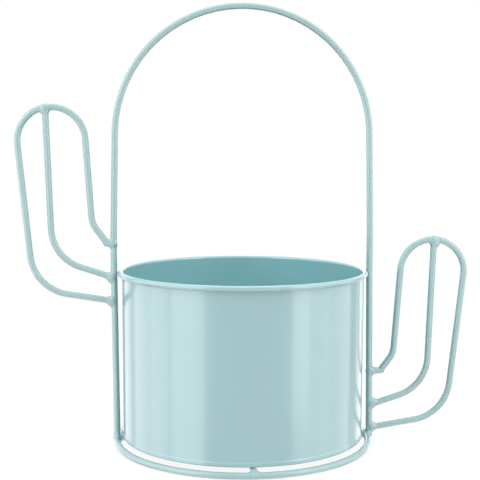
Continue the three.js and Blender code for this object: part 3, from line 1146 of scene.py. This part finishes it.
def rounded_outline(before: Vector, corners: Sequence[tuple[float, float, float]],
                    after: Vector) -> list[Vector]:
    """Rounds the corners of an outline and puts points along its long runs.

    Args:
        before: the point that the outline comes from.
        corners: each corner's radius from the axis, its height, and how far from it the rounding
            starts.
        after: the point that the outline goes on to.

    Returns:
        The (radius, height) points between the two.
    """
    places = [before, *(Vector(c[:2]) for c in corners), after]
    points: list[Vector] = []
    last = before
    for place, previous, following, (_, _, cut) in zip(places[1:-1], places, places[2:], corners):
        back, on = previous - place, following - place
        start = place + back.normalized() * min(cut, LARGEST_CUT * back.length)
        end = place + on.normalized() * min(cut, LARGEST_CUT * on.length)
        points += run_between(last, start)
        for step in range(CORNER_STEPS + 1):
            t = step / CORNER_STEPS
            points.append(start * (1 - t) ** 2 + place * 2 * t * (1 - t) + end * t ** 2)
        last = end
    return points + run_between(last, after)


def run_between(start: Vector, end: Vector, spacing: float = 2.2 * MM) -> list[Vector]:
    """Points inside a straight run, with two close to its ends that keep its shading flat.

    Args:
        start: the run's start, which isn't repeated.
        end: its end, which isn't repeated.
        spacing: the longest step.

    Returns:
        The points between the two.
    """
    run = end - start
    if run.length < SHORT_RUN:
        return []
    close = CLOSE_POINT / run.length
    steps = math.ceil(run.length / spacing)
    shares = sorted({close, 1 - close, *(i / steps for i in range(1, steps))})
    return [start + run * share for share in shares]


# ---------------- studio


def hang_lamp(name: str, place: Vector, facing: Vector, matt: bool, **settings: Setting) -> None:
    """Hangs an area lamp that the camera doesn't see.

    Args:
        name: its name.
        place: where it hangs.
        facing: the direction that it faces.
        matt: whether it only lights matt surfaces, or else only shows in reflections.
        **settings: the lamp's own properties.
    """
    lamp = bpy.data.lights.new(name, "AREA")
    for key, value in settings.items():
        setattr(lamp, key, value)
    lantern = new_object(name, lamp)
    lantern.location = place
    lantern.rotation_euler = facing.to_track_quat("-Z", "Y").to_euler()
    lantern.visible_camera = False
    lantern.visible_diffuse = matt
    lantern.visible_glossy = not matt


@dataclass(frozen=True)
class Card:
    """An upright white card that only shows in reflections.

    It reaches from left to right, in degrees to the right of the camera as seen from the pot.
    """

    name: str
    left: float
    right: float
    low: float
    high: float
    radiance: float
    distance: float = 0.55

    def hang(self, front: float) -> None:
        """Hangs the card.

        Args:
            front: the direction from the pot to the camera, in degrees round the Z axis.
        """
        width = 2 * self.distance * math.tan(math.radians((self.right - self.left) / 2))
        height = self.high - self.low
        turn = math.radians(front + (self.left + self.right) / 2)
        out = Vector((math.cos(turn), math.sin(turn), 0))
        place = out * self.distance + Vector((0, 0, (self.low + self.high) / 2))
        hang_lamp(self.name, place, -out, matt=False, shape="RECTANGLE", size=width, size_y=height,
                  energy=self.radiance * math.pi * width * height)


@dataclass(frozen=True)
class Panel:
    """A round soft lamp that faces the pot. Its spread is in degrees."""

    name: str
    place: tuple[float, float, float]
    size: float
    radiance: float
    matt: bool = True
    spread: float = 180.0

    def hang(self, middle: Vector) -> None:
        """Hangs the lamp, facing the pot's middle."""
        place, energy = Vector(self.place), self.radiance * (math.pi * self.size / 2) ** 2
        hang_lamp(self.name, place, middle - place, self.matt, shape="DISK", size=self.size,
                  energy=energy, spread=math.radians(self.spread))


@dataclass
class Studio:
    """A white room with a pale round table, lamps and cards round the pot, and the camera.

    The camera looks along +Y, but for its yaw, pitch and roll, in degrees. Its focal length is a
    share of the image's width.
    """

    eye: tuple[float, float, float] = (-39.43 * MM, -512.44 * MM, 149.45 * MM)
    yaw: float = -4.245301
    pitch: float = -5.660823
    roll: float = 0.148969
    focal_share: float = 1073.75 / 480
    clip: tuple[float, float] = (0.01, 20.0)
    table: float = 0.30
    table_sides: int = 128
    table_sink: float = 0.02 * MM
    table_white: float = 0.9
    table_seen: float = 0.95
    table_bounce: float = 0.38
    ambient: float = 0.35
    aim: float = 0.06
    panels: tuple[Panel, ...] = (
        Panel("left_top_softbox", (-0.39, -0.33, 0.73), 0.9, 1.85),
        Panel("right_top_softbox", (0.39, -0.33, 0.73), 0.9, 1.85),
        Panel("back_top_softbox", (0, 0.55, 0.72), 0.9, 1.7),
        Panel("inside_lamp", (0, 0, 0.185), 0.05, 2.2, spread=45.0),
        Panel("left_side_lamp", (-0.75, -0.03, 0.36), 0.6, 1.8),
        Panel("right_side_lamp", (0.75, -0.03, 0.36), 0.6, 1.8),
        Panel("overhead_card", (0, -0.15, 0.90), 1.7, 0.75, matt=False),
        Panel("under_card", (0, -0.15, -0.60), 1.7, 1.3, matt=False),
    )
    cards: tuple[Card, ...] = (
        Card("front_card", -32.0, 43.5, -0.24, 0.30, 0.90),
        Card("left_softbox", -66.7, -32.5, -0.24, 0.60, 2.1),
        Card("right_softbox", 44.0, 61.4, -0.115, 0.60, 0.90),
        Card("left_card", -90.0, -68.5, -0.24, 0.60, 1.75),
        Card("left_far_card", -117.0, -90.0, -0.24, 0.60, 1.25),
        Card("left_back_card", -150.0, -126.0, -0.24, 0.40, 0.6),
        Card("right_card", 44.0, 85.0, -0.24, 0.60, 1.45),
        Card("right_far_card", 85.0, 115.0, -0.24, 0.60, 1.05),
        Card("right_back_card", 132.0, 150.0, -0.24, 0.40, 0.6),
        Card("back_card", 168.0, 192.0, -0.24, 0.60, 1.2),
    )

    def camera(self) -> None:
        """Sets up the camera at the photograph's place and angle."""
        data = bpy.data.cameras.new("camera")
        data.sensor_fit = "HORIZONTAL"
        data.angle = 2 * math.atan(0.5 / self.focal_share)
        data.clip_start, data.clip_end = self.clip
        camera = new_object("camera", data)
        yaw, pitch, roll = (
            Matrix.Rotation(math.radians(angle), 4, axis)
            for angle, axis in ((self.yaw, "Z"), (90 + self.pitch, "X"), (self.roll, "Z"))
        )
        camera.matrix_world = Matrix.Translation(self.eye) @ yaw @ pitch @ roll
        bpy.context.scene.camera = camera

    def room(self) -> None:
        """A white background that lights the object at a lower level."""
        world = bpy.data.worlds.new("white_room")
        graph = emptied(world)
        soft, white = (graph.add("ShaderNodeBackground", {"Color": WHITE, "Strength": strength})
                       for strength in (self.ambient, 1.0))
        mixed = graph.mix(graph.rays("Camera", "Glossy", "Transmission"), soft, white)
        graph.add("ShaderNodeOutputWorld", {"Surface": mixed})
        bpy.context.scene.world = world

    def floor(self) -> None:
        """A plain pale table top that keeps the shadow, and that reflections look through."""
        material = bpy.data.materials.new("pale_table")
        graph = emptied(material)
        direct = graph.rays("Camera")
        pale = graph.between(direct, 0.0, 1.0, self.table_bounce, self.table_seen)
        paint = graph.add("ShaderNodeBsdfDiffuse", {"Color": pale})
        glow = graph.add("ShaderNodeEmission", {"Color": WHITE, "Strength": 1.0})
        seen = graph.mix(graph.calc("MULTIPLY", direct, self.table_white), paint, glow)
        clear = graph.add("ShaderNodeBsdfTransparent")
        mixed = graph.mix(graph.rays("Glossy", "Transmission", "Shadow"), seen, clear)
        graph.add("ShaderNodeOutputMaterial", {"Surface": mixed})
        mesh = bpy.data.meshes.new("table_top")
        rim = circle(self.table, -self.table_sink, self.table_sides)
        mesh.from_pydata(rim, [], [tuple(range(len(rim)))])
        mesh.materials.append(material)
        top = new_object("table_top", mesh)

    def build(self) -> None:
        """Sets up the camera, the room, the table and the lamps."""
        self.camera()
        self.room()
        self.floor()
        front = math.degrees(math.atan2(self.eye[1], self.eye[0]))
        for card in self.cards:
            card.hang(front)
        for panel in self.panels:
            panel.hang(Vector((0, 0, self.aim)))
        bpy.context.scene.view_settings.view_transform = "Standard"


def main() -> None:
    """Builds the planter and its studio."""
    logging.basicConfig(level=logging.INFO, format="%(name)s: %(message)s")
    shop = Workshop()
    base, arch = Base(), Arch()
    base.build(shop)
    arch.build(shop, base)
    arms = (
        Arm(arch, Side.LEFT, foot=69.4 * MM, height=92.3 * MM, reach=44.7 * MM, end_rise=28.3 * MM,
            end_reach=3.4 * MM, rib_shift=2.7 * MM, outer_lean=5.6, inner_lean=3.85),
        Arm(arch, Side.RIGHT, foot=5.3 * MM, height=93.1 * MM, reach=46.7 * MM, end_rise=29 * MM,
            end_reach=5.8 * MM, rib_shift=0.6 * MM, crown=15.7 * MM, inner_lean=4.1,
            foot_drop=(1.5 * MM, 0.9 * MM), rib_drop=(2.0 * MM, 2.2 * MM),
            crown_drop=(1.5 * MM, -2.5 * MM)),
    )
    for arm in arms:
        arm.build(shop)
    Pot().build(shop)
    Studio().build()


if __name__ == "__main__":
    main()
